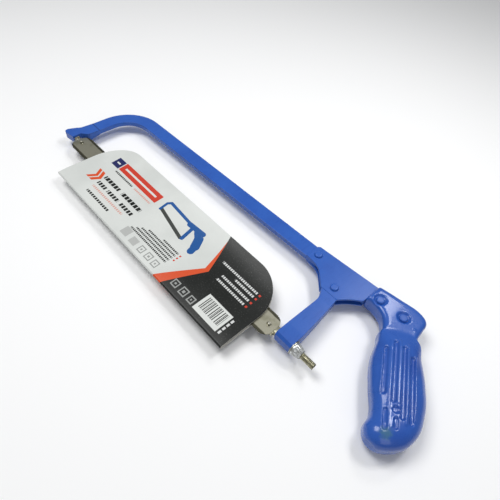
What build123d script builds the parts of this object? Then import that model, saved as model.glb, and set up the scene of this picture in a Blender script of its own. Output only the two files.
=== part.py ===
"""Fixed-frame hacksaw with a tensioned 300 mm blade in its folded card sleeve.

The saw lies on its side. Lengths are millimetres. While the pieces are made, X runs along the
blade towards the handle with zero just ahead of the front blade hole, Y runs from the blade
towards the spine of the bow, and Z is up with zero on the middle plane of the bow. At the end every piece is moved
so that the origin is under the middle of the whole saw.
"""
from build123d import *
import math
import os

# blade
FRONT_HOLE_X = 2.0
HOLE_SPACING = 300.0
REAR_HOLE_X = FRONT_HOLE_X + HOLE_SPACING
BLADE_WIDTH = 23.0
BLADE_THICKNESS = 0.7
BLADE_END = 6.8
BLADE_CORNER = 6.0
BLADE_HOLE_RADIUS = 2.1
BLADE_Z = -1.0
BLADE_BED_GAP = 0.05

# blade holders and their pins
PIN_RADIUS = 1.6
PIN_TOP = 1.6
PIN_SEAT = BLADE_HOLE_RADIUS - PIN_RADIUS - 0.05
HOLDER_SIZE = 6.4
TONGUE_WIDTH = 10.0
TONGUE_BEYOND_PIN = 6.0
TONGUE_BOTTOM = -4.5
PEG_SIZE = 6.0
PEG_Z = -1.5
PEENED_RADIUS = 4.0

# bow: one flat bar
BAR_WIDTH = 16.0
BAR_THICKNESS = 5.0
POST_X = -10.5
POST_FOOT_Y = 12.0
BEND_RADIUS = 34.0
SPINE_FRONT_Y = 77.2
SPINE_SLOPE = math.radians(1.12)
BAR_REAR_X = 383.0
TANG_BOTTOM = 79.0
TANG_TOP = 92.4

# front foot: a boss on the end of the post
FOOT_ABOVE = 3.6
FOOT_BELOW = 7.0
FOOT_FRONT_X = -24.0
FOOT_REAR_X = -8.0
FOOT_BOTTOM_Y = -4.5
FOOT_FLARE_Y = -1.5
FOOT_TOE_Y = -7.0
FOOT_TOE_ROUNDING = 3.5
FOOT_TOE_CHAMFER = 3.0
FOOT_TOP_Y = 26.0
FOOT_SHOULDER_Y = 5.5

# gusset plates
GUSSET_PLATE = 1.5
GUSSET_FRONT_X = 275.0
GUSSET_TOP_FRONT = 91.4
GUSSET_TOP_REAR = 95.6
GUSSET_REAR_X = 340.0
GUSSET_LOWER_Y = 57.5

# rear arm
ARM_FRONT_X = 313.0
ARM_REAR_X = 329.6
ARM_BOTTOM_Y = -4.6
ARM_HALF_THICKNESS = 6.2
ARM_BOSS_TOP = 10.0
ARM_TONGUE_TOP = 73.5
ARM_END_CHAMFER = 2.2
SQUARE_HOLE_DEPTH = 12.5

# running clearances
SLIDE_GAP = 0.1
THREAD_GAP = 0.05
FACE_GAP = 0.05

# tension screw, washer and tapered thumb nut
SCREW_RADIUS = 3.0
SCREW_END_X = 351.0
WASHER_RADIUS = 6.2
WASHER_THICKNESS = 1.0
NUT_BASE_RADIUS = 5.6
NUT_TOP_RADIUS = 4.0
NUT_LENGTH = 8.0
NUT_COLLAR = 1.5
FLUTE_COUNT = 10
FLUTE_RADIUS = 0.9

# rivets
RIVET_RADIUS = 2.5
RIVET_HEAD_RADIUS = 3.8
RIVET_HEAD_HEIGHT = 1.8
SPINE_RIVET_X = 282.0
ARM_RIVET = (315.0, 65.5)
HANDLE_RIVET_X = (349.5, 372.5)

# handle
HEAD_HALF_THICKNESS = 8.5
GRIP_HALF_THICKNESS = 13.0
HEAD_ROUNDING = 4.0
GRIP_ROUNDING = 9.0
DIMPLE_RADIUS = 6.5
DIMPLE_DEPTH = 1.6
PANEL_CENTRE = (401.7, 31.7)
GROOVE_WIDTH = 3.6
GROOVE_DEPTH = 1.0
GRIP_LEAN = -58.0
MOULD_MARK_ACROSS = -0.8
MOULD_MARK_ALONG = 19.9
MOULD_MARK_RADIUS = 2.7

# offset across the panel, start and end along it, of each groove of the grip
GRIP_GROOVES = (
    (-10.0, -28.3, 10.3),
    (-2.6, -35.0, 15.0),
    (3.9, -31.6, 26.0),
    (10.1, -24.3, 28.0),
    (-7.6, 20.0, 36.0),
    (-0.4, 25.0, 33.5),
)

# folded card sleeve
CARD_THICKNESS = 0.6
CARD_FRONT_X = 33.0
CARD_REAR_X = 293.0
CARD_FOLD_Y = -42.0
CARD_TOP_Y = 34.0
CARD_TOP_OPENING = 13.5
CARD_BLADE_OPENING = 3.6
CARD_FOLD_OPENING = 2.2
CARD_CORNER = 36.0


def spine_y(x):
    """Height of the middle of the spine above the blade line at a place along the saw."""
    return SPINE_FRONT_Y + (x - POST_X - BEND_RADIUS) * math.tan(SPINE_SLOPE)


def cylinder_z(x, y, radius, bottom, top):
    """Upright cylinder between two heights."""
    return Pos(x, y, bottom) * Cylinder(radius, top - bottom, align=(Align.CENTER, Align.CENTER, Align.MIN))


def cylinder_x(radius, start, end):
    """Cylinder on the screw axis between two places along the saw."""
    upright = Cylinder(radius, end - start, align=(Align.CENTER, Align.CENTER, Align.MIN))
    return Pos(start, 0, 0) * Rot(0, 90, 0) * upright


def block(x_range, y_range, z_range):
    """Rectangular block between three pairs of limits."""
    size = (x_range[1] - x_range[0], y_range[1] - y_range[0], z_range[1] - z_range[0])
    corner = Box(*size, align=(Align.MIN, Align.MIN, Align.MIN))
    return Pos(x_range[0], y_range[0], z_range[0]) * corner


def slab(face, bottom, top):
    """Plan outline raised between two heights."""
    return Pos(0, 0, bottom) * extrude(face, top - bottom, dir=(0, 0, 1))


def rivet_places():
    """Plan position of each rivet through the gusset plates."""
    handle = [(x, spine_y(x)) for x in HANDLE_RIVET_X]
    return [(SPINE_RIVET_X, spine_y(SPINE_RIVET_X)), ARM_RIVET] + handle


def rivet_holes():
    """Drillings for all four rivets."""
    reach = GRIP_HALF_THICKNESS + 2
    return [cylinder_z(x, y, RIVET_RADIUS, -reach, reach) for x, y in rivet_places()]


def rivet(place, half_grip):
    """Rivet with a domed head on each side."""
    x, y = place
    shank = cylinder_z(x, y, RIVET_RADIUS, -half_grip, half_grip)
    head = cylinder_z(x, y, RIVET_HEAD_RADIUS, half_grip, half_grip + RIVET_HEAD_HEIGHT)
    head = fillet(head.edges().group_by(Axis.Z)[-1], RIVET_HEAD_HEIGHT * 0.8)
    return shank + head + mirror(head, Plane.XY)


def bow_bar():
    """Flat bar bent into the front post and the spine, narrowed to a tang at its rear end."""
    bend_corner = (POST_X, spine_y(POST_X))
    path = FilletPolyline((POST_X, POST_FOOT_Y), bend_corner, (BAR_REAR_X + 2, spine_y(BAR_REAR_X + 2)),
                          radius=BEND_RADIUS)
    outline = trace(path, BAR_WIDTH)
    bar = slab(outline, -BAR_THICKNESS / 2, BAR_THICKNESS / 2)
    below_tang = block((GUSSET_REAR_X, BAR_REAR_X + 5), (60, TANG_BOTTOM), (-10, 10))
    beyond_tang = block((BAR_REAR_X, BAR_REAR_X + 5), (60, 110), (-10, 10))
    return bar - below_tang - beyond_tang - rivet_holes()


def foot_outline():
    """Plan outline of the front foot, flared forwards at its toe."""
    outer = POST_X - BAR_WIDTH / 2
    inner = POST_X + BAR_WIDTH / 2
    blade_relief = inner - FOOT_REAR_X
    corners = Polyline((outer, FOOT_TOP_Y), (outer, FOOT_SHOULDER_Y + 6), (FOOT_FRONT_X, FOOT_FLARE_Y),
                       (FOOT_FRONT_X, FOOT_TOE_Y), (FOOT_REAR_X, FOOT_BOTTOM_Y),
                       (FOOT_REAR_X, FOOT_SHOULDER_Y), (inner, FOOT_SHOULDER_Y + blade_relief),
                       (inner, FOOT_TOP_Y), close=True)
    return make_face(corners)


def tapered_cheek(side, wide_y, narrow_y, wide, narrow):
    """Wedge that is cut away above a boss so that it thins towards the bar."""
    profile = Polyline((wide_y, wide), (narrow_y, narrow), (narrow_y + 60, narrow), (narrow_y + 60, wide + 9),
                       (wide_y, wide + 9), close=True)
    upright = make_face(Plane.YZ * profile)
    wedge = extrude(upright, 500, dir=(1, 0, 0), both=True)
    if side < 0:
        wedge = mirror(wedge, Plane.XY)
    return wedge


def front_foot():
    """Boss on the end of the post, deeper below the bar, that carries the front blade holder."""
    flush = BAR_THICKNESS / 2
    foot = slab(foot_outline(), -FOOT_BELOW, FOOT_ABOVE)
    foot = foot - tapered_cheek(1, FOOT_SHOULDER_Y, FOOT_TOP_Y, FOOT_ABOVE, flush)
    foot = foot - tapered_cheek(-1, FOOT_SHOULDER_Y, FOOT_TOP_Y, FOOT_BELOW, flush)
    bar_slot = block((FOOT_FRONT_X - 1, POST_X + BAR_WIDTH / 2 + 1), (POST_FOOT_Y, FOOT_TOP_Y + 1),
                     (-flush, flush))
    foot = foot - bar_slot
    toe = foot.edges().filter_by(Axis.Z).group_by(Axis.Y)[0].sort_by(Axis.X)[0]
    foot = fillet(toe, FOOT_TOE_ROUNDING)
    lower_toe = foot.edges().group_by(Axis.Z)[0].group_by(Axis.Y)[0]
    foot = chamfer(lower_toe, FOOT_TOE_CHAMFER)
    return foot - holder_peg()


def holder_peg():
    """Square peg of the front blade holder, as long as the foot is deep."""
    half = PEG_SIZE / 2
    return block((FOOT_FRONT_X, FOOT_REAR_X), (-half, half), (PEG_Z - half, PEG_Z + half))


def tongue_bed():
    """Height of the face that the blade beds on."""
    return BLADE_Z - BLADE_THICKNESS / 2 - BLADE_BED_GAP


def front_blade_holder():
    """Square peg through the foot, peened outside, with a flat tongue under the blade."""
    pin_x = FRONT_HOLE_X - PIN_SEAT
    peened = Pos(0, 0, PEG_Z) * cylinder_x(PEENED_RADIUS, FOOT_FRONT_X - 1.5, FOOT_FRONT_X)
    peened = fillet(peened.edges().group_by(Axis.X)[0], 1.0)
    tongue = block((FOOT_REAR_X, pin_x + TONGUE_BEYOND_PIN), (-TONGUE_WIDTH / 2, TONGUE_WIDTH / 2),
                   (TONGUE_BOTTOM, tongue_bed()))
    tongue = fillet(tongue.edges().filter_by(Axis.Z).group_by(Axis.X)[-1], 3.5)
    pin_hole = cylinder_z(pin_x, 0, PIN_RADIUS, TONGUE_BOTTOM - 1, tongue_bed() + 1)
    return holder_peg() + peened + tongue - pin_hole


def blade_pin(x):
    """Pin pressed into a holder's tongue, standing up through the blade."""
    pin = cylinder_z(x, 0, PIN_RADIUS, TONGUE_BOTTOM, PIN_TOP)
    return fillet(pin.edges().group_by(Axis.Z)[-1], 0.8)


def blade():
    """Two-edged blade with a hole at each end and clipped corners."""
    length = HOLE_SPACING + 2 * BLADE_END
    strip = Pos(FRONT_HOLE_X + HOLE_SPACING / 2, 0) * Rectangle(length, BLADE_WIDTH)
    strip = chamfer(strip.vertices(), BLADE_CORNER)
    plate = slab(strip, BLADE_Z - BLADE_THICKNESS / 2, BLADE_Z + BLADE_THICKNESS / 2)
    holes = [cylinder_z(x, 0, BLADE_HOLE_RADIUS, -10, 10) for x in (FRONT_HOLE_X, REAR_HOLE_X)]
    return plate - holes


def gusset_outline():
    """Plan outline shared by the two gusset plates, with a narrow tail inside the handle."""
    spine_under = spine_y(GUSSET_FRONT_X) - BAR_WIDTH / 2
    lower = FilletPolyline((GUSSET_FRONT_X, spine_under), (291, spine_under - 1.5), (306.5, GUSSET_LOWER_Y),
                           radius=22)
    rear = ThreePointArc((324.5, GUSSET_LOWER_Y), (331.5, 66.5), (GUSSET_REAR_X, 74.0))
    edges = [
        lower,
        Line((306.5, GUSSET_LOWER_Y), (324.5, GUSSET_LOWER_Y)),
        rear,
        Line((GUSSET_REAR_X, 74.0), (GUSSET_REAR_X, TANG_BOTTOM)),
        Line((GUSSET_REAR_X, TANG_BOTTOM), (BAR_REAR_X, TANG_BOTTOM)),
        Line((BAR_REAR_X, TANG_BOTTOM), (BAR_REAR_X, TANG_TOP)),
        Line((BAR_REAR_X, TANG_TOP), (GUSSET_REAR_X, TANG_TOP)),
        Line((GUSSET_REAR_X, TANG_TOP), (GUSSET_REAR_X, GUSSET_TOP_REAR)),
        Line((GUSSET_REAR_X, GUSSET_TOP_REAR), (GUSSET_FRONT_X + 2, GUSSET_TOP_FRONT)),
        Line((GUSSET_FRONT_X + 2, GUSSET_TOP_FRONT), (GUSSET_FRONT_X, GUSSET_TOP_FRONT - 1.5)),
        Line((GUSSET_FRONT_X, GUSSET_TOP_FRONT - 1.5), (GUSSET_FRONT_X, spine_under)),
    ]
    return make_face(Curve() + edges)


def gusset_plate(side):
    """One pressed plate that joins the spine, the rear arm and the handle."""
    inner = BAR_THICKNESS / 2
    outer = inner + GUSSET_PLATE
    plate = slab(gusset_outline(), inner, outer)
    rim = plate.edges().group_by(Axis.Z)[-1].filter_by(lambda edge: edge.center().X < GUSSET_REAR_X - 0.1)
    plate = chamfer(rim, 0.4)
    plate = plate - rivet_holes()
    if side < 0:
        plate = mirror(plate, Plane.XY)
    return plate


def arm_outline():
    """Plan outline of the rear arm, wide at the screw boss and flaring forwards under the gusset."""
    edges = [
        Line((ARM_FRONT_X, ARM_BOTTOM_Y), (ARM_REAR_X, ARM_BOTTOM_Y)),
        Line((ARM_REAR_X, ARM_BOTTOM_Y), (ARM_REAR_X, 8)),
        Spline((ARM_REAR_X, 8), (327.4, 32), (324.3, GUSSET_LOWER_Y)),
        Line((324.3, GUSSET_LOWER_Y), (307.5, GUSSET_LOWER_Y)),
        Spline((307.5, GUSSET_LOWER_Y), (311.4, 51), (ARM_FRONT_X, 42), tangents=((0.5, -0.85), (0, -1))),
        Line((ARM_FRONT_X, 42), (ARM_FRONT_X, ARM_BOTTOM_Y)),
    ]
    return make_face(Curve() + edges)


def rear_arm():
    """Arm with a tongue between the gusset plates and a boss bored for the tension screw."""
    flush = BAR_THICKNESS / 2 + GUSSET_PLATE
    arm = slab(arm_outline(), -ARM_HALF_THICKNESS, ARM_HALF_THICKNESS)
    for side in (1, -1):
        arm = arm - tapered_cheek(side, ARM_BOSS_TOP, 48, ARM_HALF_THICKNESS, flush)
    arm = chamfer(arm.faces().group_by(Axis.Y)[0].edges().filter_by(Axis.X), ARM_END_CHAMFER)
    tongue = block((308.5, 323.5), (GUSSET_LOWER_Y, ARM_TONGUE_TOP), (-BAR_THICKNESS / 2, BAR_THICKNESS / 2))
    half = HOLDER_SIZE / 2 + SLIDE_GAP
    square = block((ARM_FRONT_X - 1, ARM_FRONT_X + SQUARE_HOLE_DEPTH), (-half, half), (-half, half))
    through = cylinder_x(SCREW_RADIUS + SLIDE_GAP, ARM_FRONT_X, ARM_REAR_X + 1)
    arm = arm + tongue - rivet_holes() - square - through
    return arm


def tension_screw():
    """Rear blade holder: half-cut tongue, square shank that cannot turn, and a screwed tail."""
    half = HOLDER_SIZE / 2
    pin_x = REAR_HOLE_X + PIN_SEAT
    shoulder = REAR_HOLE_X + BLADE_END + 1.5
    square_end = ARM_FRONT_X + SQUARE_HOLE_DEPTH - 1.5
    tongue = block((pin_x - TONGUE_BEYOND_PIN, shoulder), (-TONGUE_WIDTH / 2, TONGUE_WIDTH / 2),
                   (TONGUE_BOTTOM, tongue_bed()))
    tongue = fillet(tongue.edges().filter_by(Axis.Z).group_by(Axis.X)[0], 3.5)
    shank = block((shoulder, square_end), (-half, half), (-half, half))
    tail = cylinder_x(SCREW_RADIUS, square_end, SCREW_END_X)
    tail = chamfer(tail.edges().group_by(Axis.X)[-1], 0.8)
    pin_hole = cylinder_z(pin_x, 0, PIN_RADIUS, TONGUE_BOTTOM - 1, tongue_bed() + 1)
    return tongue + shank + tail - pin_hole


def tension_washer():
    """Flat washer between the arm and the thumb nut."""
    start = ARM_REAR_X
    disc = cylinder_x(WASHER_RADIUS, start, start + WASHER_THICKNESS)
    return disc - cylinder_x(SCREW_RADIUS + SLIDE_GAP, start - 1, start + WASHER_THICKNESS + 1)


def tension_nut():
    """Tapered thumb nut with a plain collar and shallow flutes, screwed on the tail of the screw."""
    seat = ARM_REAR_X + WASHER_THICKNESS + FACE_GAP
    collar = cylinder_x(NUT_BASE_RADIUS, seat, seat + NUT_COLLAR)
    taper_length = NUT_LENGTH - NUT_COLLAR
    taper = Cone(NUT_BASE_RADIUS, NUT_TOP_RADIUS, taper_length, align=(Align.CENTER, Align.CENTER, Align.MIN))
    taper = Pos(seat + NUT_COLLAR, 0, 0) * Rot(0, 90, 0) * taper
    lean = math.degrees(math.atan((NUT_BASE_RADIUS - NUT_TOP_RADIUS) / taper_length))
    nut = collar + taper
    for index in range(FLUTE_COUNT):
        flute = Cylinder(FLUTE_RADIUS, taper_length * 2, align=(Align.CENTER, Align.CENTER, Align.MIN))
        flute = Pos(seat + NUT_COLLAR, 0, NUT_BASE_RADIUS + 0.3) * Rot(0, 90 + lean, 0) * flute
        nut = nut - Rot(index * 360 / FLUTE_COUNT, 0, 0) * flute
    return nut - cylinder_x(SCREW_RADIUS + THREAD_GAP, seat - 1, seat + NUT_LENGTH + 1)


def head_outline():
    """Plan outline of the flat head of the handle, which takes the gusset's tail."""
    edges = [
        Line((GUSSET_REAR_X, 76.8), (GUSSET_REAR_X, 95.6)),
        Spline((GUSSET_REAR_X, 95.6), (360, 98.4), (381, 99.6), tangents=((1, 0.18), (1, 0))),
        Spline((381, 99.6), (388.2, 95.6), (390, 87), tangents=((1, 0), (0, -1))),
        Spline((390, 87), (391.6, 77.5), (398.5, 69.2), tangents=((0, -1), (0.75, -0.66))),
        Line((398.5, 69.2), (368, 62)),
        Spline((368, 62), (359, 73.2), (346, 77.2), tangents=((-0.35, 0.94), (-1, 0))),
        Line((346, 77.2), (GUSSET_REAR_X, 76.8)),
    ]
    return make_face(Curve() + edges)


def grip_outline():
    """Plan outline of the grip: down the back from the neck, round the toe and up the finger side."""
    neck_back = (392.5, 76.0)
    neck_front = (366.5, 64.5)
    back = ((405, 63.2), (417.6, 48.5), (428.3, 31), (433.2, 11), (427.2, -5.4))
    toe = ((414, -13.2), (405.2, -8))
    finger_side = ((401.5, 3.5), (388, 20), (376.5, 36.5), (370.5, 52))
    side = Spline(neck_back, *back, *toe, *finger_side, neck_front, tangents=((0.62, -0.78), (-0.3, 0.95)))
    return make_face(Curve() + [side, Line(neck_front, neck_back)])


def grip_grooves():
    """Shallow grooves and a round mould mark on both faces of the grip."""
    panel = Pos(*PANEL_CENTRE) * Rot(0, 0, GRIP_LEAN)
    shapes = [panel * Pos(MOULD_MARK_ALONG, MOULD_MARK_ACROSS) * Circle(MOULD_MARK_RADIUS)]
    for across, start, end in GRIP_GROOVES:
        shapes.append(panel * Pos((start + end) / 2, across) * SlotOverall(end - start, GROOVE_WIDTH))
    grooves = []
    for shape in shapes:
        top = GRIP_HALF_THICKNESS
        grooves.append(slab(shape, top - GROOVE_DEPTH, top + 1))
        grooves.append(slab(shape, -top - 1, -top + GROOVE_DEPTH))
    return grooves


def handle_casting():
    """Cast handle: a flat head slotted for the gusset's tail and a thick rounded grip."""
    head = slab(head_outline(), -HEAD_HALF_THICKNESS, HEAD_HALF_THICKNESS)
    long_edges = head.edges().group_by(Axis.Z)[-1] + head.edges().group_by(Axis.Z)[0]
    head = fillet(long_edges, HEAD_ROUNDING)
    grip = slab(grip_outline(), -GRIP_HALF_THICKNESS, GRIP_HALF_THICKNESS)
    faces = grip.edges().group_by(Axis.Z)
    rims = ShapeList(faces[-1] + faces[0]).filter_by(GeomType.LINE, reverse=True)
    grip = fillet(rims, GRIP_ROUNDING)
    casting = head + grip - grip_grooves()
    half_tail = BAR_THICKNESS / 2 + GUSSET_PLATE
    casting = casting - block((GUSSET_REAR_X - 1, BAR_REAR_X), (TANG_BOTTOM, TANG_TOP), (-half_tail, half_tail))
    for x in HANDLE_RIVET_X:
        y = spine_y(x)
        upper = HEAD_HALF_THICKNESS - DIMPLE_DEPTH
        casting = casting - cylinder_z(x, y, DIMPLE_RADIUS, upper, HEAD_HALF_THICKNESS + 1)
        casting = casting - cylinder_z(x, y, DIMPLE_RADIUS, -HEAD_HALF_THICKNESS - 1, -upper)
        casting = casting - cylinder_z(x, y, RIVET_RADIUS, -20, 20)
    return casting


def card_section():
    """Section of the sleeve across the blade: a thin card folded under the teeth."""
    def side(sign, shift):
        low = CARD_FOLD_OPENING / 2 + shift
        middle = CARD_BLADE_OPENING / 2 + shift
        high = CARD_TOP_OPENING / 2 + shift
        points = ((CARD_FOLD_Y, sign * low), (-14, sign * middle), (10, sign * (middle + 0.6)),
                  (CARD_TOP_Y, sign * high))
        return points

    inner_upper = side(1, 0)
    inner_lower = side(-1, 0)
    outer_upper = side(1, CARD_THICKNESS)
    outer_lower = side(-1, CARD_THICKNESS)
    inside = [Spline(*inner_upper), Spline(*inner_lower)]
    outside = [Spline(*outer_upper), Spline(*outer_lower)]
    inner_bow = ThreePointArc(inner_upper[0], (CARD_FOLD_Y - CARD_FOLD_OPENING / 2, 0), inner_lower[0])
    outer_reach = CARD_FOLD_OPENING / 2 + CARD_THICKNESS
    outer_bow = ThreePointArc(outer_upper[0], (CARD_FOLD_Y - outer_reach, 0), outer_lower[0])
    lips = [Line(inner_upper[-1], outer_upper[-1]), Line(inner_lower[-1], outer_lower[-1])]
    flat = Curve() + inside + outside + [inner_bow, outer_bow] + lips
    return make_face(Plane.YZ * Pos(0, BLADE_Z) * flat)


def corner_waste(x, direction):
    """Waste outside a large rounded top corner of the sleeve."""
    inside_x = x + direction * CARD_CORNER
    square = block(sorted((x - direction * 2, inside_x)), (CARD_TOP_Y - CARD_CORNER, CARD_TOP_Y + 5), (-20, 20))
    return square - cylinder_z(inside_x, CARD_TOP_Y - CARD_CORNER, CARD_CORNER, -20, 20)


def blade_sleeve():
    """Printed card sleeve folded round the blade, open along the top and at both ends."""
    sleeve = extrude(card_section(), CARD_REAR_X - CARD_FRONT_X, dir=(1, 0, 0))
    sleeve = Pos(CARD_FRONT_X, 0, 0) * sleeve
    return sleeve - corner_waste(CARD_FRONT_X, 1) - corner_waste(CARD_REAR_X, -1)


def all_pieces():
    """Every piece of the saw by name, still in the working position."""
    spine_place, arm_place, front_place, rear_place = rivet_places()
    plates = BAR_THICKNESS / 2 + GUSSET_PLATE
    head = HEAD_HALF_THICKNESS - DIMPLE_DEPTH
    return {
        "bow_bar": bow_bar(),
        "front_foot": front_foot(),
        "front_blade_holder": front_blade_holder(),
        "front_blade_pin": blade_pin(FRONT_HOLE_X - PIN_SEAT),
        "blade": blade(),
        "upper_gusset_plate": gusset_plate(1),
        "lower_gusset_plate": gusset_plate(-1),
        "rear_arm": rear_arm(),
        "spine_rivet": rivet(spine_place, plates),
        "arm_rivet": rivet(arm_place, plates),
        "handle_casting": handle_casting(),
        "handle_front_rivet": rivet(front_place, head),
        "handle_rear_rivet": rivet(rear_place, head),
        "tension_screw": tension_screw(),
        "rear_blade_pin": blade_pin(REAR_HOLE_X + PIN_SEAT),
        "tension_washer": tension_washer(),
        "tension_nut": tension_nut(),
        "blade_sleeve": blade_sleeve(),
    }


def main():
    """Make every piece, move the saw over its origin and write the pieces."""
    pieces = all_pieces()
    box = Compound(list(pieces.values())).bounding_box()
    centre = box.center()
    to_origin = Pos(-centre.X, -centre.Y, -box.min.Z)
    os.makedirs("parts", exist_ok=True)
    for name, piece in pieces.items():
        export_step(to_origin * piece, f"parts/{name}.step")
    print("origin in working lengths", round(centre.X, 4), round(centre.Y, 4), round(box.min.Z, 4))


main()
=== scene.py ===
"""Looks of a fixed-frame hacksaw: enamelled bow and handle, toothed blade, tension screw and printed card.

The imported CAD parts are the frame. Finer pieces stand for the handle, blade, screw and card, and every
other part keeps its shape and gets a small rounded edge and a finish. Lengths inside the classes are
millimetres measured from the drawing zero of the saw, which the Datum works out from the blade's box.
"""
import logging
import math
from dataclasses import dataclass
from enum import Enum
from functools import reduce
from typing import Callable, Iterable, Optional, Sequence

import bmesh
import bpy
import numpy as np
from mathutils import Matrix, Vector
from mathutils.kdtree import KDTree

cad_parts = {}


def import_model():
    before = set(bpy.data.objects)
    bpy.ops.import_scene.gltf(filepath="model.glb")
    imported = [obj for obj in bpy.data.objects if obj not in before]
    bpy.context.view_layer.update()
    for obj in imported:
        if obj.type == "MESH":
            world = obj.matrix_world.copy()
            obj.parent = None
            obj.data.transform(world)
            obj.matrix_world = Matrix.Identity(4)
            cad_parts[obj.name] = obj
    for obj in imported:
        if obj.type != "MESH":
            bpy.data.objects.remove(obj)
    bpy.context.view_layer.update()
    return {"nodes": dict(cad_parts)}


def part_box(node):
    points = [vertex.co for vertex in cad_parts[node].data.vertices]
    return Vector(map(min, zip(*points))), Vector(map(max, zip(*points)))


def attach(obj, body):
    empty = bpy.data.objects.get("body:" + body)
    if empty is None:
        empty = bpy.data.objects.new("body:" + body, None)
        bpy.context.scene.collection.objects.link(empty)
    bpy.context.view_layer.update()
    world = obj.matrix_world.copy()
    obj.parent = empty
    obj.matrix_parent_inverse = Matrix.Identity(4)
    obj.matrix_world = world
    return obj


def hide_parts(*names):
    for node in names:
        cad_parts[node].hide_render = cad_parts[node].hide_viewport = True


MM = 0.001
LOG = logging.getLogger("hacksaw")

Point = tuple[float, float]
Colour = tuple[float, float, float]
Piece = bpy.types.Object
Socket = bpy.types.NodeSocket
EVEN: Colour = (1.0, 1.0, 1.0)


class Finish(Enum):
    """Material slots of the record; no piece in this script takes its finish from them."""

    HANDLE = "handle_paint"
    STEEL = "blade_steel"
    ZINC = "zinc_plate"
    CARD = "printed_card"


@dataclass(frozen=True)
class Datum:
    """Place of the drawing zero in the shared frame, in metres."""

    x: float
    y: float
    z: float

    @classmethod
    def from_blade(cls, blade_front: float = -4.8, blade_height: float = -1.0) -> "Datum":
        """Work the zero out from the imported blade.

        Args:
            blade_front: drawing length of the blade's front end.
            blade_height: drawing height of the blade's middle plane.

        Returns:
            The datum of this saw.
        """
        low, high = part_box("blade")
        middle_y, middle_z = (low[1] + high[1]) / 2, (low[2] + high[2]) / 2
        return cls(low[0] - blade_front * MM, middle_y, middle_z - blade_height * MM)

    def at(self, x: float, y: float, z: float = 0.0) -> Vector:
        """Point of the shared frame, in metres, for drawing lengths in millimetres."""
        return Vector((self.x + x * MM, self.y + y * MM, self.z + z * MM))

    def lengths(self, mesh: bpy.types.Mesh) -> np.ndarray:
        """Drawing lengths of every vertex of a mesh that lies in the shared frame.

        Args:
            mesh: the mesh to read.

        Returns:
            One row of x, y and z in millimetres for each vertex.
        """
        return (Bench.places(mesh) - np.array((self.x, self.y, self.z))) / MM

    def set_lengths(self, mesh: bpy.types.Mesh, lengths: np.ndarray) -> None:
        """Move every vertex of a mesh to the given drawing lengths.

        Args:
            mesh: the mesh to change.
            lengths: one row of x, y and z in millimetres for each vertex.
        """
        Bench.set_places(mesh, lengths * MM + np.array((self.x, self.y, self.z)))


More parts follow.
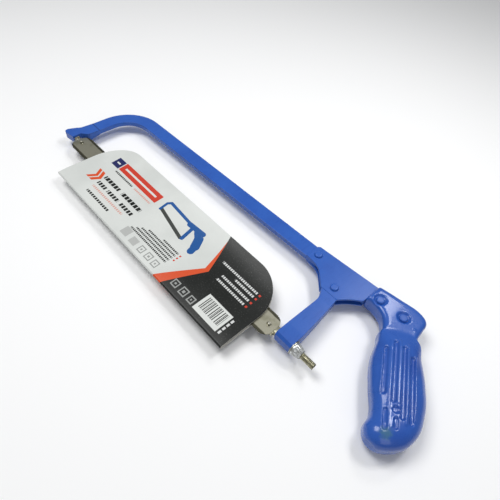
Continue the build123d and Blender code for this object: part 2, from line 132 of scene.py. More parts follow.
class Bench:
    """Modelling steps that every sub-assembly uses."""

    @staticmethod
    def clear() -> None:
        """Deselect everything."""
        for thing in list(bpy.context.selected_objects):
            thing.select_set(False)

    @staticmethod
    def pick(piece: Piece) -> None:
        """Make a piece the only selected and the active object."""
        Bench.clear()
        piece.select_set(True)
        bpy.context.view_layer.objects.active = piece

    @staticmethod
    def take(name: str) -> Piece:
        """Name the object that an operator has just added."""
        piece = bpy.context.active_object
        piece.name = name
        piece.data.name = name
        return piece

    @staticmethod
    def add(name: str, operator: Callable[..., object], **settings: object) -> Piece:
        """Add a named piece with one of Blender's add operators and nothing else selected."""
        Bench.clear()
        operator(**settings)
        return Bench.take(name)

    @staticmethod
    def places(mesh: bpy.types.Mesh) -> np.ndarray:
        """One row of x, y and z in metres for each vertex."""
        flat = np.zeros(len(mesh.vertices) * 3)
        mesh.vertices.foreach_get("co", flat)
        return flat.reshape(-1, 3)

    @staticmethod
    def set_places(mesh: bpy.types.Mesh, places: np.ndarray) -> None:
        """Move every vertex to its row of x, y and z in metres."""
        mesh.vertices.foreach_set("co", places.ravel())
        mesh.update()

    @staticmethod
    def settle(piece: Piece) -> None:
        """Put a piece's place, turn and size into its mesh."""
        Bench.pick(piece)
        bpy.ops.object.transform_apply(location=True, rotation=True, scale=True)

    @staticmethod
    def modify(piece: Piece, kind: str, **settings: object) -> None:
        """Add one modifier and apply it.

        Args:
            piece: the object to change.
            kind: the modifier's type.
            settings: values for the modifier's properties.
        """
        Bench.pick(piece)
        step = piece.modifiers.new(kind.lower(), kind)
        for name, value in settings.items():
            setattr(step, name, value)
        bpy.ops.object.modifier_apply(modifier=step.name)

    @staticmethod
    def edit(piece: Piece, work: Callable[[bmesh.types.BMesh], None], mode: str = "VERT") -> None:
        """Run steps on a piece in edit mode with nothing selected at the start.

        Args:
            piece: the object to edit.
            work: function that selects parts of the mesh and calls operators.
            mode: what is selected, VERT, EDGE or FACE.
        """
        Bench.pick(piece)
        bpy.ops.object.mode_set(mode="EDIT")
        bpy.ops.mesh.select_mode(type=mode)
        bpy.ops.mesh.select_all(action="DESELECT")
        work(bmesh.from_edit_mesh(piece.data))
        bpy.ops.object.mode_set(mode="OBJECT")

    @staticmethod
    def join(pieces: Sequence[Piece], name: str) -> Piece:
        """Join several meshes into one object.

        Args:
            pieces: the objects to join; the first one stays.
            name: the joined piece's name.

        Returns:
            The joined object.
        """
        Bench.clear()
        for piece in pieces:
            piece.select_set(True)
        bpy.context.view_layer.objects.active = pieces[0]
        bpy.ops.object.join()
        return Bench.take(name)

    @staticmethod
    def weld(piece: Piece, distance: float = 0.01) -> None:
        """Merge doubled vertices and turn all faces outwards.

        Args:
            piece: the object to clean.
            distance: the furthest apart that doubles lie, in millimetres.
        """

        def work(_: bmesh.types.BMesh) -> None:
            bpy.ops.mesh.select_all(action="SELECT")
            bpy.ops.mesh.remove_doubles(threshold=distance * MM)
            bpy.ops.mesh.normals_make_consistent(inside=False)

        Bench.edit(piece, work)

    @staticmethod
    def paint(piece: Piece, *materials: bpy.types.Material) -> None:
        """Give a piece its materials in place of any it has."""
        piece.data.materials.clear()
        for material in materials:
            piece.data.materials.append(material)

    @staticmethod
    def smooth(piece: Piece, degrees: float = 30.0) -> None:
        """Shade a piece smooth, apart from its sharp edges."""
        Bench.pick(piece)
        bpy.ops.object.shade_smooth_by_angle(angle=math.radians(degrees))

    @staticmethod
    def cut(piece: Piece, cutter: Piece, operation: str = "DIFFERENCE") -> None:
        """Cut a piece with another solid, or unite them, and remove the other."""
        Bench.modify(piece, "BOOLEAN", object=cutter, operation=operation, solver="EXACT")
        bpy.data.objects.remove(cutter)


def smoothstep(low: float, high: float, value: np.ndarray) -> np.ndarray:
    """Smooth rise from 0 at low to 1 at high."""
    share = np.clip((value - low) / (high - low), 0.0, 1.0)
    return share * share * (3 - 2 * share)


class Graph:
    """Node tree of one material, with a short call for every kind of node it uses."""

    def __init__(self, name: str) -> None:
        """Start a material with only a principled shader, its output and the place of the shaded point."""
        self.material = bpy.data.materials.new(name)
        self.material.use_nodes = True
        self.tree = self.material.node_tree
        self.tree.nodes.clear()
        output = self.node("ShaderNodeOutputMaterial")
        self.shader = self.node("ShaderNodeBsdfPrincipled")
        self.feed(output.inputs[0], self.shader.outputs[0])
        coordinates = self.node("ShaderNodeTexCoord")
        self.place = coordinates.outputs["Object"]
        self.chart = coordinates.outputs["UV"]

    def node(self, kind: str, **settings: object) -> bpy.types.Node:
        """Add a node and set its properties."""
        made = self.tree.nodes.new(kind)
        for name, value in settings.items():
            setattr(made, name, value)
        return made

    def feed(self, target: Socket, value: object) -> None:
        """Give a socket a value or a link, whichever is handed in."""
        if isinstance(value, Socket):
            self.tree.links.new(value, target)
        else:
            target.default_value = value

    def fed(self, kind: str, inputs: dict[object, object], **settings: object) -> Socket:
        """Add a node whose first output is wanted.

        Args:
            kind: the node's type.
            inputs: values or sockets by the name or number of the input.
            settings: values for the node's properties.

        Returns:
            The node's first output.
        """
        made = self.node(kind, **settings)
        for name, value in inputs.items():
            self.feed(made.inputs[name], value)
        return made.outputs[0]

    def math(self, operation: str, *values: object, clamp: bool = False) -> Socket:
        """Result of a math node, kept between 0 and 1 if clamp is set."""
        return self.fed("ShaderNodeMath", dict(enumerate(values)), operation=operation, use_clamp=clamp)

    def split(self, vector: Socket) -> tuple[Socket, ...]:
        """The three components of a vector."""
        made = self.node("ShaderNodeSeparateXYZ")
        self.feed(made.inputs[0], vector)
        return tuple(made.outputs)

    def noise(self, scale: float, detail: float, stretch: Colour = EVEN) -> Socket:
        """Noise from 0 to 1, with scale in features per metre.

        Args:
            scale: features per metre.
            detail: how many finer layers are added.
            stretch: share of the scale along each axis.

        Returns:
            The noise.
        """
        place = self.place
        if stretch != EVEN:
            place = self.fed("ShaderNodeMapping", {"Vector": self.place, "Scale": stretch})
        return self.fed("ShaderNodeTexNoise", {"Vector": place, "Scale": scale, "Detail": detail})

    def rise(self, value: object, low: float, high: float) -> Socket:
        """A value turned into a smooth mask that goes from 0 at low to 1 at high."""
        inputs = {"Value": value, "From Min": low, "From Max": high}
        return self.fed("ShaderNodeMapRange", inputs, interpolation_type="SMOOTHSTEP")

    def span(self, value: object, low: float, high: float) -> Socket:
        """A value from 0 to 1 spread evenly between two numbers."""
        return self.fed("ShaderNodeMapRange", {"Value": value, "To Min": low, "To Max": high})

    def mix(self, mask: object, first: object, second: object) -> Socket:
        """Mix two colours, each a socket or numbers, by a mask that is 0 for the first."""
        made = self.node("ShaderNodeMix", data_type="RGBA")
        colours = (colour if isinstance(colour, Socket) else (*colour, 1.0) for colour in (first, second))
        for index, value in zip((0, 6, 7), (mask, *colours)):
            self.feed(made.inputs[index], value)
        return made.outputs[2]

    def tint(self, colour: object, target: Colour, mask: Socket, share: float) -> Socket:
        """Draw a colour towards a target by a share of a mask."""
        return self.mix(self.math("MULTIPLY", mask, share), colour, target)

    def bump(self, height: Socket, distance: float, strength: float = 1.0,
             under: Optional[Socket] = None) -> Socket:
        """Bump from a height, with the distance in metres, over an optional earlier bump."""
        inputs = {"Height": height, "Distance": distance, "Strength": strength}
        if under is not None:
            inputs["Normal"] = under
        return self.fed("ShaderNodeBump", inputs)

    def vector(self, operation: str, first: object, second: object) -> Socket:
        """Number that a vector math node makes of two vectors."""
        made = self.node("ShaderNodeVectorMath", operation=operation)
        self.feed(made.inputs[0], first)
        self.feed(made.inputs[1], second)
        return made.outputs["Value"]

    def edges(self, radius: float) -> Socket:
        """Mask that is 1 on outer edges and in inner corners, and reaches as far as the radius."""
        soft = self.fed("ShaderNodeBevel", {"Radius": radius}, samples=4)
        hard = self.node("ShaderNodeNewGeometry").outputs["True Normal"]
        turn = self.math("SUBTRACT", 1.0, self.vector("DOT_PRODUCT", soft, hard))
        return self.rise(turn, 0.01, 0.16)

    def finish(self, inputs: dict[str, object]) -> bpy.types.Material:
        """Feed the principled shader and hand the material over."""
        for name, value in inputs.items():
            self.feed(self.shader.inputs[name], value)
        return self.material


@dataclass(frozen=True)
class Cloud:
    """Soft blotches: features per metre, layers, the noise where they start and are full, and a stretch."""

    scale: float
    detail: float
    start: float
    full: float
    stretch: Colour = EVEN

    def mask(self, graph: Graph) -> Socket:
        """Mask of the blotches in one material."""
        return graph.rise(graph.noise(self.scale, self.detail, self.stretch), self.start, self.full)


@dataclass(frozen=True)
class Relief:
    """Fine bumps: features per metre, layers, depth in metres, strength and a stretch."""

    scale: float
    detail: float
    depth: float
    strength: float = 1.0
    stretch: Colour = EVEN

    def bump(self, graph: Graph, under: Optional[Socket] = None) -> Socket:
        """Bumps of one material, over an optional earlier bump."""
        height = graph.noise(self.scale, self.detail, self.stretch)
        return graph.bump(height, self.depth, self.strength, under)


@dataclass(frozen=True)
class Enamel:
    """Blue stove enamel over steel: faint mottle, orange peel, dark outer edges for thin enamel, painted
    shade in inner corners, and a few chips.
    """

    name: str
    face: Colour = (0.026, 0.108, 0.450)
    deep: Colour = (0.014, 0.064, 0.330)
    # Dark edge colour: thin enamel on outer edges, and painted shade where the same mask reaches into inner
    # corners and joints.
    edge: Colour = (0.006, 0.022, 0.110)
    bare: Colour = (0.045, 0.040, 0.036)
    mottle: Cloud = Cloud(38.0, 4.0, 0.34, 0.70)
    runs: Cloud = Cloud(420.0, 2.0, 0.52, 0.78, (1.0, 0.25, 1.0))
    specks: Cloud = Cloud(640.0, 3.0, 0.615, 0.66)
    roughness: Point = (0.27, 0.42)
    edge_width: float = 0.6 * MM
    peel: Relief = Relief(520.0, 2.0, 0.06 * MM)
    chip_depth: float = 0.08 * MM

    def make(self) -> bpy.types.Material:
        """Build the material."""
        graph = Graph(self.name)
        colour = graph.tint(self.face, self.deep, self.mottle.mask(graph), 0.35)
        colour = graph.tint(colour, self.deep, self.runs.mask(graph), 0.30)
        # Edge mask: its darkening is thin enamel on outer edges and painted shade in inner corners; it also
        # places the chips.
        edge_shade_and_wear = graph.edges(self.edge_width)
        colour = graph.tint(colour, self.edge, edge_shade_and_wear, 0.62)
        chip = graph.math("MULTIPLY", graph.rise(edge_shade_and_wear, 0.15, 0.55), self.specks.mask(graph))
        rough = graph.span(graph.noise(150.0, 3.0), *self.roughness)
        smooth_part = graph.math("SUBTRACT", 1.0, chip)
        return graph.finish({
            "Base Color": graph.mix(chip, colour, self.bare),
            "Roughness": graph.math("MULTIPLY_ADD", chip, 0.30, rough),
            "Coat Weight": 0.08,
            "Coat Roughness": 0.16,
            "Specular IOR Level": 0.30,
            "Normal": graph.bump(smooth_part, self.chip_depth, 0.8, self.peel.bump(graph)),
        })


@dataclass(frozen=True)
class GlossEnamel:
    """Thick dipped enamel on the casting: wet gloss, slow waves, painted shade in the hollows and a green
    scuff.
    """

    name: str
    scuff: Vector
    face: Colour = (0.022, 0.098, 0.430)
    # Deep blue: used for the mottle and as the painted shade in the hollows.
    deep: Colour = (0.008, 0.034, 0.250)
    scuffed: Colour = (0.075, 0.190, 0.170)
    mottle: Cloud = Cloud(30.0, 3.0, 0.35, 0.72)
    roughness: Point = (0.20, 0.36)
    # Reach of the ambient occlusion that paints the shade in the hollows.
    hollow_shade_distance: float = 4 * MM
    scuff_reach: Point = (4 * MM, 9 * MM)
    scuff_rag: float = 5 * MM
    waves: Relief = Relief(85.0, 1.5, 0.22 * MM)
    peel: Relief = Relief(430.0, 2.0, 0.04 * MM)

    def make(self) -> bpy.types.Material:
        """Build the material."""
        graph = Graph(self.name)
        colour = graph.tint(self.face, self.deep, self.mottle.mask(graph), 0.45)
        # Painted shade: grooves and corners darkened by an ambient-occlusion mask.
        colour = graph.tint(colour, self.deep, self.hollows(graph), 0.55)
        return graph.finish({
            "Base Color": graph.tint(colour, self.scuffed, self.rub(graph), 0.55),
            "Roughness": graph.span(graph.noise(90.0, 4.0), *self.roughness),
            "Coat Weight": 0.50,
            "Coat Roughness": 0.08,
            "Specular IOR Level": 0.30,
            "Normal": self.peel.bump(graph, self.waves.bump(graph)),
        })

    def hollows(self, graph: Graph) -> Socket:
        """Mask of painted shade in grooves and corners, from ambient occlusion."""
        shade = graph.node("ShaderNodeAmbientOcclusion", samples=4, only_local=True)
        shade.inputs["Distance"].default_value = self.hollow_shade_distance
        return graph.rise(graph.math("SUBTRACT", 1.0, shade.outputs["AO"]), 0.08, 0.5)

    def rub(self, graph: Graph) -> Socket:
        """Ragged mask round the scuff on the toe of the grip."""
        gap = graph.vector("DISTANCE", graph.place, self.scuff)
        ragged = graph.math("MULTIPLY_ADD", graph.noise(520.0, 4.0), self.scuff_rag, gap)
        return graph.math("SUBTRACT", 1.0, graph.rise(ragged, *self.scuff_reach))


@dataclass(frozen=True)
class Zinc:
    """Zinc plating: mottled bright metal with a tint, fine turning lines and painted shade at the edges and
    in the corners.
    """

    name: str
    bright: Colour = (0.62, 0.61, 0.54)
    dull: Colour = (0.30, 0.29, 0.23)
    # Near-black painted shade laid on edges and inner corners.
    painted_edge_shade: Colour = (0.035, 0.032, 0.024)
    mottle: Cloud = Cloud(420.0, 5.0, 0.38, 0.66)
    roughness: Point = (0.24, 0.48)
    edge_width: float = 0.5 * MM
    lines: Relief = Relief(5200.0, 2.0, 0.02 * MM, 0.7, (1.0, 0.12, 0.12))
    grain: Relief = Relief(900.0, 3.0, 0.04 * MM, 0.8)

    def make(self) -> bpy.types.Material:
        """Build the material."""
        graph = Graph(self.name)
        mottle = self.mottle.mask(graph)
        colour = graph.mix(mottle, self.bright, self.dull)
        return graph.finish({
            # Painted shade: edges and inner corners darkened by the edge mask.
            "Base Color": graph.tint(colour, self.painted_edge_shade, graph.edges(self.edge_width), 0.45),
            "Metallic": 0.9,
            "Roughness": graph.span(mottle, *self.roughness),
            "Normal": self.grain.bump(graph, self.lines.bump(graph)),
        })


@dataclass(frozen=True)
class RolledSteel:
    """Dull blade steel: rolling lines along the blade, oily stains and dark hardened bands at the teeth."""

    name: str
    middle_y: float
    band: Point = (8.1 * MM, 9.0 * MM)
    band_rag: float = 0.9 * MM
    steel: Colour = (0.335, 0.325, 0.262)
    stain: Colour = (0.185, 0.180, 0.118)
    hardened: Colour = (0.052, 0.050, 0.032)
    stains: Cloud = Cloud(120.0, 4.0, 0.48, 0.70)
    roughness: Point = (0.34, 0.52)
    line_depth: float = 0.015 * MM

    def make(self) -> bpy.types.Material:
        """Build the material."""
        graph = Graph(self.name)
        lines = graph.noise(3800.0, 3.0, (0.03, 1.0, 1.0))
        colour = graph.tint(self.steel, self.stain, lines, 0.45)
        colour = graph.tint(colour, self.stain, self.stains.mask(graph), 0.55)
        band = self.bands(graph)
        return graph.finish({
            "Base Color": graph.mix(band, colour, self.hardened),
            "Metallic": 0.75,
            "Roughness": graph.math("MULTIPLY_ADD", band, 0.12, graph.span(lines, *self.roughness)),
            "Normal": graph.bump(lines, self.line_depth, 0.8),
        })

    def bands(self, graph: Graph) -> Socket:
        """Ragged mask of the two strips along the teeth."""
        across = graph.math("ABSOLUTE", graph.math("SUBTRACT", graph.split(graph.place)[1], self.middle_y))
        ragged = graph.math("MULTIPLY_ADD", graph.noise(340.0, 2.0), self.band_rag, across)
        return graph.rise(ragged, self.band[0] + self.band_rag / 2, self.band[1] + self.band_rag / 2)


@dataclass(frozen=True)
class Bar:
    """One printed rectangle: edges in card millimetres, and the pitch that breaks it into short blocks."""

    left: float
    right: float
    low: float
    high: float
    pitch: float = 0.0
    filled: float = 0.72

    def shrunk(self, by: float) -> "Bar":
        """The rectangle with every edge moved inwards."""
        return Bar(self.left + by, self.right - by, self.low + by, self.high - by)


@dataclass(frozen=True)
class Chart:
    """Place of the shaded point on the card, in millimetres from its front edge and from its fold."""

    graph: Graph
    x: Socket
    y: Socket

    def any_of(self, masks: Iterable[Socket]) -> Socket:
        """Mask that is 1 where any of the masks is."""
        return reduce(lambda first, second: self.graph.math("MAXIMUM", first, second), masks)

    def block(self, shape: Bar) -> Socket:
        """Mask of one rectangle, broken into blocks if it has a pitch."""
        math_of = self.graph.math
        wide = math_of("COMPARE", self.x, (shape.left + shape.right) / 2, (shape.right - shape.left) / 2)
        tall = math_of("COMPARE", self.y, (shape.low + shape.high) / 2, (shape.high - shape.low) / 2)
        mask = math_of("MULTIPLY", wide, tall)
        if shape.pitch:
            part = math_of("FRACT", math_of("DIVIDE", self.x, shape.pitch))
            mask = math_of("MULTIPLY", mask, math_of("LESS_THAN", part, shape.filled))
        return mask

    def bars(self, *shapes: Bar) -> Socket:
        """Mask of several rectangles."""
        return self.any_of([self.block(shape) for shape in shapes])

    def frames(self, *shapes: Bar, rim: float = 1.1, core: float = 2.64) -> Socket:
        """Mask of several rectangles that are hollow apart from a small middle block."""
        gaps = self.bars(*(shape.shrunk(rim) for shape in shapes))
        hollow = self.graph.math("SUBTRACT", self.bars(*shapes), gaps)
        middles = self.bars(*(shape.shrunk(core) for shape in shapes))
        return self.graph.math("ADD", hollow, middles, clamp=True)

    def chevrons(self, middle: float = 28.8, half: float = 8.2, lean: float = 0.62,
                 places: Sequence[Point] = ((28.8, 2.0), (34.8, 2.2))) -> Socket:
        """Mask of two arrowheads that point along the card.

        Args:
            middle: height of their tips.
            half: half of their height.
            lean: how far they fall back for each millimetre from the middle.
            places: length of each tip and half of its thickness.

        Returns:
            The mask.
        """
        math_of = self.graph.math
        off = math_of("ABSOLUTE", math_of("SUBTRACT", self.y, middle))
        reach = math_of("MULTIPLY_ADD", off, lean, self.x)
        heads = self.any_of([math_of("COMPARE", reach, tip, thick) for tip, thick in places])
        return math_of("MULTIPLY", math_of("LESS_THAN", off, half), heads)

    def behind(self, knee: Point, upper: float, lower: float) -> Socket:
        """Mask of everything behind a line with one knee.

        Args:
            knee: place of the knee.
            upper: how much the line comes forwards for each millimetre above the knee.
            lower: the same below the knee.

        Returns:
            The mask.
        """
        math_of = self.graph.math
        climb = math_of("SUBTRACT", self.y, knee[1])
        reach = math_of("MULTIPLY_ADD", math_of("MAXIMUM", climb, 0.0), upper, self.x)
        reach = math_of("MULTIPLY_ADD", math_of("MINIMUM", climb, 0.0), -lower, reach)
        return math_of("GREATER_THAN", reach, knee[0])

    def stroke(self, start: Point, end: Point, width: float) -> Socket:
        """Mask of one drawn stroke with round ends."""
        math_of = self.graph.math
        run, climb = end[0] - start[0], end[1] - start[1]
        square = run * run + climb * climb
        gap_x = math_of("SUBTRACT", self.x, start[0])
        gap_y = math_of("SUBTRACT", self.y, start[1])
        along = math_of("MULTIPLY_ADD", gap_x, run / square, math_of("MULTIPLY", gap_y, climb / square))
        share = math_of("MINIMUM", math_of("MAXIMUM", along, 0.0), 1.0)
        off_x = math_of("MULTIPLY_ADD", share, -run, gap_x)
        off_y = math_of("MULTIPLY_ADD", share, -climb, gap_y)
        away = math_of("MULTIPLY_ADD", off_x, off_x, math_of("MULTIPLY", off_y, off_y))
        return math_of("LESS_THAN", away, width * width / 4)

    def stripes(self, field: Bar, waves: Point = (4.3, 2.6), level: float = 0.15) -> Socket:
        """Mask of upright stripes of uneven width in a rectangle; they encode nothing."""
        sines = [self.graph.math("SINE", self.graph.math("MULTIPLY", self.x, wave)) for wave in waves]
        dark = self.graph.math("GREATER_THAN", self.graph.math("ADD", *sines), level)
        return self.graph.math("MULTIPLY", dark, self.block(field))


@dataclass(frozen=True)
class PrintedCard:
    """Coated white card with a plain print of areas, bars and a drawn saw, the same on both sides."""

    name: str
    width: float
    sheet: float
    white: Colour = (0.660, 0.680, 0.655)
    grey: Colour = (0.540, 0.560, 0.540)
    black: Colour = (0.0040, 0.0055, 0.0042)
    red: Colour = (0.560, 0.040, 0.018)
    orange: Colour = (0.640, 0.075, 0.016)
    navy: Colour = (0.012, 0.016, 0.100)
    drawn_blue: Colour = (0.006, 0.080, 0.290)
    drawn_steel: Colour = (0.045, 0.050, 0.045)
    soft_red: Colour = (0.640, 0.330, 0.280)
    soft_grey: Colour = (0.430, 0.440, 0.425)
    mid_grey: Colour = (0.300, 0.310, 0.300)
    pale_grey: Colour = (0.620, 0.630, 0.620)
    blotches: Cloud = Cloud(26.0, 3.0, 0.3, 0.75)
    dust: Cloud = Cloud(900.0, 4.0, 0.55, 0.8)
    roughness: Point = (0.30, 0.46)
    waves: Relief = Relief(34.0, 2.0, 0.6 * MM, 0.5)
    fibres: Relief = Relief(2600.0, 3.0, 0.01 * MM, 0.6)
    saw_strokes: tuple[tuple[Point, Point, float], ...] = (
        ((109.4, 51.0), (108.6, 60.2), 3.0), ((108.6, 60.2), (111.4, 63.4), 3.0),
        ((111.4, 63.4), (147.0, 60.6), 3.2), ((145.0, 60.0), (163.0, 61.2), 5.6),
        ((150.5, 58.5), (153.2, 44.0), 3.8), ((158.0, 59.5), (165.5, 54.0), 7.6),
        ((164.5, 55.0), (169.0, 47.0), 9.0), ((169.0, 47.0), (170.5, 41.0), 7.0))
    small_lines: tuple[Point, ...] = (
        (29.2, 144.0), (25.8, 126.0), (22.4, 119.0), (19.0, 116.0), (15.6, 112.0))
    light_lines: tuple[Point, ...] = ((54.4, 199.0), (49.8, 220.0), (44.2, 209.5), (38.8, 208.5))

    def make(self) -> bpy.types.Material:
        """Build the material."""
        graph = Graph(self.name)
        across, along, _ = graph.split(graph.chart)
        x = graph.math("MULTIPLY", across, self.width)
        off_fold = graph.math("MULTIPLY", graph.math("SUBTRACT", along, 0.5), self.sheet)
        chart = Chart(graph, x, graph.math("ABSOLUTE", off_fold))
        colour = graph.tint(self.white, self.grey, self.blotches.mask(graph), 0.6)
        for mask, ink in self.layers(chart):
            colour = graph.mix(mask, colour, ink)
        return graph.finish({
            "Base Color": graph.tint(colour, self.grey, self.dust.mask(graph), 0.10),
            "Roughness": graph.span(graph.noise(60.0, 4.0), *self.roughness),
            "Coat Weight": 0.06,
            "Coat Roughness": 0.22,
            "Specular IOR Level": 0.28,
            "Normal": self.fibres.bump(graph, self.waves.bump(graph)),
        })

    def layers(self, chart: Chart) -> Iterable[tuple[Socket, Colour]]:
        """Every ink in the order it is laid, with its mask.

        Args:
            chart: the card's lengths in the material.

        Yields:
            The mask and the ink's colour.
        """
        yield chart.behind((193.6, 39.1), 0.26, 0.626), self.orange
        yield chart.behind((198.4, 39.1), 0.40, 0.47), self.black
        yield from self.title(chart)
        yield from self.drawing(chart)
        yield from self.dark_end(chart)

    def title(self, chart: Chart) -> Iterable[tuple[Socket, Colour]]:
        """Plain blocks where the card has its headings."""
        yield chart.bars(Bar(34.6, 99.4, 50.9, 62.4)), self.red
        yield chart.bars(Bar(21.2, 33.4, 50.3, 61.9)), self.navy
        yield chart.bars(Bar(40.0, 94.0, 55.6, 57.8), Bar(24.6, 30.0, 55.2, 57.0)), self.white
        yield chart.bars(Bar(35.0, 66.0, 46.0, 48.0, 2.4)), self.black
        yield chart.bars(Bar(70.0, 97.0, 46.0, 48.0, 2.4)), self.soft_red
        yield chart.chevrons(), self.orange
        yield chart.bars(Bar(37.0, 63.0, 31.7, 36.3, 5.0, 0.80), Bar(68.5, 100.5, 31.7, 36.3, 5.0, 0.80),
                         Bar(39.0, 53.0, 22.6, 26.9, 4.2), Bar(56.5, 76.0, 22.6, 26.9, 4.2),
                         Bar(80.0, 100.0, 22.6, 26.9, 4.2), Bar(42.0, 81.5, 9.2, 12.0, 3.4)), self.black
        yield chart.bars(Bar(40.0, 93.0, 16.9, 19.3, 2.8, 0.6)), self.soft_red

    def drawing(self, chart: Chart) -> Iterable[tuple[Socket, Colour]]:
        """Small broken lines, plain squares and the drawn saw."""
        lines = [Bar(left, 166.5, low, low + 2.0, 2.1, 0.70) for low, left in self.small_lines]
        yield chart.bars(*lines), self.black
        yield chart.bars(*(Bar(168.6, 170.4, low, low + 1.7) for low in (29.4, 25.9, 22.4))), self.red
        yield chart.bars(Bar(109.5, 119.0, 5.6, 15.0), Bar(124.0, 133.0, 5.0, 12.6)), self.soft_grey
        yield chart.frames(Bar(137.5, 144.5, 5.0, 12.4), Bar(148.0, 155.6, 5.2, 12.6),
                           Bar(158.4, 165.4, 5.0, 12.2)), self.mid_grey
        yield chart.stroke((110.0, 52.0), (151.5, 43.2), 3.6), self.drawn_steel
        yield chart.any_of([chart.stroke(*stroke) for stroke in self.saw_strokes]), self.drawn_blue

    def dark_end(self, chart: Chart) -> Iterable[tuple[Socket, Colour]]:
        """Pale broken lines, plain squares and the striped block on the black end."""
        lines = [Bar(left, 243.3, low, low + 2.3, 2.3, 0.70) for low, left in self.light_lines]
        column = [Bar(248.6, 250.6, low, low + 3.2) for low in (7.0, 11.5, 16.0, 20.5)]
        yield chart.bars(*lines, *column), self.pale_grey
        yield chart.frames(Bar(186.6, 194.0, 6.4, 13.6), Bar(197.6, 205.4, 6.0, 14.0),
                           Bar(208.4, 215.0, 6.4, 13.4)), self.mid_grey
        yield chart.bars(*(Bar(245.0, 247.0, low, low + 2.0) for low in (54.6, 50.0, 44.4, 39.0))), self.red
        yield chart.bars(Bar(217.4, 246.9, 6.2, 25.6)), self.white
        yield chart.stripes(Bar(220.0, 244.4, 10.4, 23.6)), self.black


@dataclass(frozen=True)
class PlainBoard:
    """Uncoated inner side and cut edges of the card: grey-white board with fibres."""

    name: str
    pale: Colour = (0.600, 0.590, 0.550)
    dark: Colour = (0.420, 0.405, 0.360)
    clouds: Cloud = Cloud(60.0, 3.0, 0.35, 0.75)
    fibre_depth: float = 0.03 * MM

    def make(self) -> bpy.types.Material:
        """Build the material."""
        graph = Graph(self.name)
        fibres = graph.noise(2400.0, 4.0, (0.25, 1.0, 1.0))
        colour = graph.tint(self.pale, self.dark, self.clouds.mask(graph), 0.5)
        return graph.finish({
            "Base Color": graph.tint(colour, self.dark, graph.rise(fibres, 0.5, 0.8), 0.4),
            "Roughness": 0.85,
            "Normal": graph.bump(fibres, self.fibre_depth, 0.8),
        })


